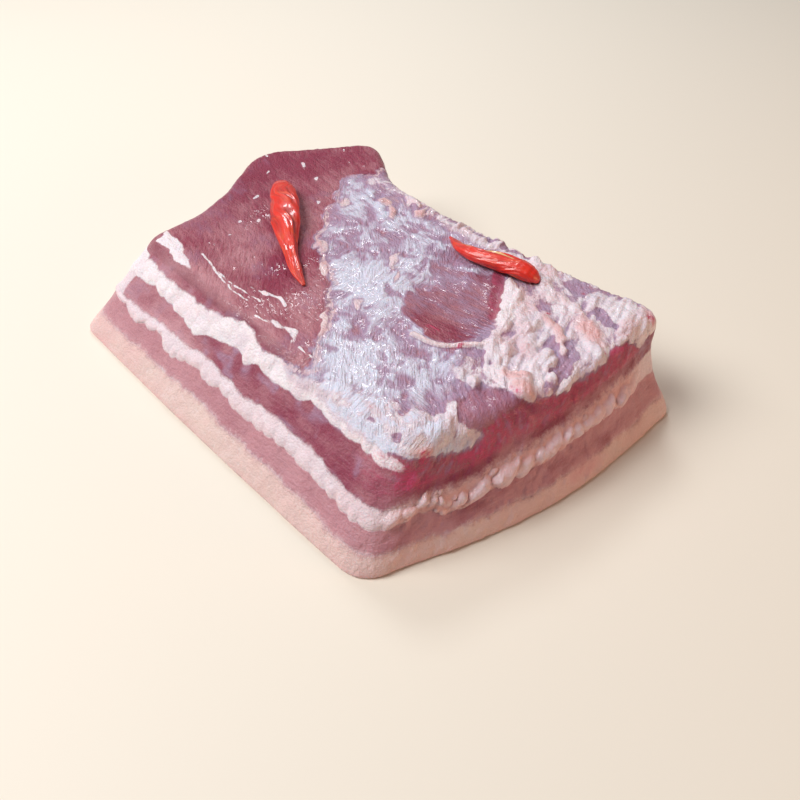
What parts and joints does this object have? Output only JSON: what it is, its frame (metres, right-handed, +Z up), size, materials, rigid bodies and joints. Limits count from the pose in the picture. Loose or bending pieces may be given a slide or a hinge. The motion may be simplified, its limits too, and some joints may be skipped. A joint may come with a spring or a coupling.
{
  "type": "pork belly slab",
  "caption": "Thick slab of raw layered pork belly lying on its rind, lean and fat showing at the cut sides, dried red chillies on top.",
  "frame": {"origin": "middle of the flat rind side, halfway along the overall length and width", "axes": "+X along the long cut face, towards the short upright cut face; +Y away from the long leaning cut face, towards the back edge; +Z up through the layers"},
  "size_m": [0.2381, 0.1732, 0.0508],
  "materials": {
    "rind_fat": "moist pale pink back fat with a fine grain, cream rind underneath",
    "pale_lean": "moist smooth pale pink lean meat",
    "seam_fat": "moist lobed white fat",
    "red_lean": "moist deep red lean meat",
    "membrane_fat": "wet lilac silverskin over lumpy white fat",
    "dark_lean": "moist wine red lean meat with fine fibres",
    "chilli_skin": "glossy wrinkled dried chilli skin"
  },
  "bodies": {
    "root": {"back_fat": "rind_fat", "lower_lean": "pale_lean", "middle_fat": "seam_fat", "upper_lean": "red_lean", "upper_fat": "membrane_fat", "top_lean": "dark_lean", "chilli_long": "chilli_skin", "chilli_short": "chilli_skin"}
  },
  "joints": []
}
